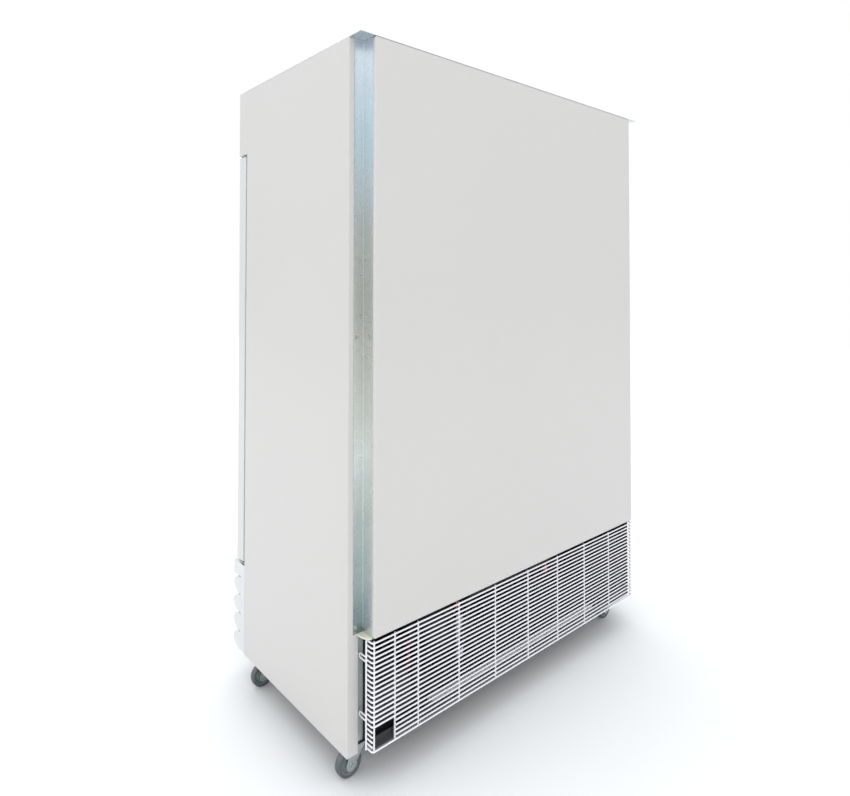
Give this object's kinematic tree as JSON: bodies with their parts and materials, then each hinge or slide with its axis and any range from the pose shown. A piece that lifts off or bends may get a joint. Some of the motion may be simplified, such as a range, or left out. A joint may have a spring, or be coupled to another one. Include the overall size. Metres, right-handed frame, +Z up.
{
  "type": "reach-in refrigerator",
  "caption": "Upright commercial merchandiser fridge on swivel casters, with hinged glass doors, shelves, a header, and a wire guard over the rear of its machine bay.",
  "frame": {"origin": "on the floor, under the middle of the bounding box", "axes": "+Z up, doors face -Y, +X to the right of someone who faces the doors"},
  "size_m": [1.347, 0.78, 1.995],
  "materials": {
    "white_steel": "off-white powder coat",
    "galvanised": "galvanised sheet",
    "foam": "rigid insulation foam, light",
    "liner_white": "smooth white liner",
    "mullion_white": "satin white",
    "door_white": "satin white",
    "guard_white": "white wire coating",
    "grille_white": "white powder coat",
    "sign_white": "translucent blank sign",
    "shelf_white": "white coated wire",
    "door_glass": "clear insulated glass",
    "gasket": "grey gasket",
    "caster_tread": "dark tread",
    "zinc": "bright zinc plate",
    "bare_aluminium": "satin aluminium",
    "black_steel": "black enamel",
    "black_plastic": "matte black",
    "copper_tube": "bare copper",
    "lamp": "lamp lens"
  },
  "bodies": {
    "case": {"side_panel_right": "white_steel", "side_panel_left": "white_steel", "back_panel": "white_steel", "front_frame": "white_steel", "header_housing": "white_steel", "top_panel": "galvanised", "corner_post_right": "galvanised", "corner_post_left": "galvanised", "case_pan": "galvanised", "front_standard_right": "galvanised", "front_standard_left": "galvanised", "rear_standard_right": "galvanised", "rear_standard_left": "galvanised", "centre_standard": "galvanised", "insulation": "foam", "liner": "liner_white", "evaporator_cover": "liner_white", "mullion": "mullion_white", "header_sign": "sign_white", "evaporator_coil": "bare_aluminium", "condenser_coil": "bare_aluminium", "top_hinge_right": "zinc", "top_hinge_left": "zinc", "bottom_hinge_right": "zinc", "bottom_hinge_left": "zinc", "shelf_1_right": "shelf_white", "shelf_1_left": "shelf_white", "shelf_2_right": "shelf_white", "shelf_2_left": "shelf_white", "shelf_3_right": "shelf_white", "shelf_3_left": "shelf_white", "shelf_4_right": "shelf_white", "shelf_4_left": "shelf_white", "control_box": "black_plastic", "interior_lamp": "lamp", "base_pan": "black_steel", "compressor": "black_steel", "condenser_shroud": "black_steel", "refrigerant_line": "copper_tube", "front_grille": "grille_white"},
    "door_right": {"door_frame_right": "door_white", "door_glass_right": "door_glass", "door_gasket_right": "gasket", "door_handle_right": "bare_aluminium"},
    "door_left": {"door_frame_left": "door_white", "door_glass_left": "door_glass", "door_gasket_left": "gasket", "door_handle_left": "bare_aluminium"},
    "guard": {"rear_guard": "guard_white"},
    "condenser_rotor": {"condenser_fan": "bare_aluminium"},
    "evaporator_rotor_right": {"evaporator_fan_right": "black_plastic"},
    "evaporator_rotor_left": {"evaporator_fan_left": "black_plastic"},
    "fork_front_right": {"caster_fork_front_right": "zinc"},
    "wheel_front_right": {"caster_wheel_front_right": "caster_tread"},
    "fork_rear_right": {"caster_fork_rear_right": "zinc"},
    "wheel_rear_right": {"caster_wheel_rear_right": "caster_tread"},
    "fork_front_left": {"caster_fork_front_left": "zinc"},
    "wheel_front_left": {"caster_wheel_front_left": "caster_tread"},
    "fork_rear_left": {"caster_fork_rear_left": "zinc"},
    "wheel_rear_left": {"caster_wheel_rear_left": "caster_tread"}
  },
  "joints": [
    {"name": "door_right_hinge", "type": "hinge", "parent": "case", "child": "door_right", "pos_m": [0.6575, -0.321, 1.08], "axis": [0, 0, 1], "range_deg": [0, 110], "stiffness_Nm_per_rad": 1.5, "springref_deg": -45.84},
    {"name": "door_left_hinge", "type": "hinge", "parent": "case", "child": "door_left", "pos_m": [-0.6575, -0.321, 1.08], "axis": [0, 0, 1], "range_deg": [-110, 0], "stiffness_Nm_per_rad": 1.5, "springref_deg": 45.84},
    {"name": "rear_guard_slide", "type": "slide", "parent": "case", "child": "guard", "axis": [0, 1, 0], "range_m": [0, 0.12]},
    {"name": "condenser_fan_spin", "type": "hinge", "parent": "case", "child": "condenser_rotor", "pos_m": [-0.23, -0.149, 0.246], "axis": [0, 1, 0], "continuous": true},
    {"name": "evaporator_fan_right_spin", "type": "hinge", "parent": "case", "child": "evaporator_rotor_right", "pos_m": [0.165, 0.0775, 1.8451], "axis": [0, 1, 0], "continuous": true},
    {"name": "evaporator_fan_left_spin", "type": "hinge", "parent": "case", "child": "evaporator_rotor_left", "pos_m": [-0.165, 0.0775, 1.8451], "axis": [0, 1, 0], "continuous": true},
    {"name": "caster_swivel_front_right", "type": "hinge", "parent": "case", "child": "fork_front_right", "pos_m": [0.608, -0.225, 0.09], "axis": [0, 0, 1], "continuous": true},
    {"name": "caster_spin_front_right", "type": "hinge", "parent": "fork_front_right", "child": "wheel_front_right", "pos_m": [0.636, -0.225, 0.0375], "axis": [0, 1, 0], "continuous": true},
    {"name": "caster_swivel_rear_right", "type": "hinge", "parent": "case", "child": "fork_rear_right", "pos_m": [0.608, 0.285, 0.09], "axis": [0, 0, 1], "continuous": true},
    {"name": "caster_spin_rear_right", "type": "hinge", "parent": "fork_rear_right", "child": "wheel_rear_right", "pos_m": [0.636, 0.285, 0.0375], "axis": [0, 1, 0], "continuous": true},
    {"name": "caster_swivel_front_left", "type": "hinge", "parent": "case", "child": "fork_front_left", "pos_m": [-0.608, -0.225, 0.09], "axis": [0, 0, 1], "continuous": true},
    {"name": "caster_spin_front_left", "type": "hinge", "parent": "fork_front_left", "child": "wheel_front_left", "pos_m": [-0.58, -0.225, 0.0375], "axis": [0, 1, 0], "continuous": true},
    {"name": "caster_swivel_rear_left", "type": "hinge", "parent": "case", "child": "fork_rear_left", "pos_m": [-0.608, 0.285, 0.09], "axis": [0, 0, 1], "continuous": true},
    {"name": "caster_spin_rear_left", "type": "hinge", "parent": "fork_rear_left", "child": "wheel_rear_left", "pos_m": [-0.58, 0.285, 0.0375], "axis": [0, 1, 0], "continuous": true}
  ]
}
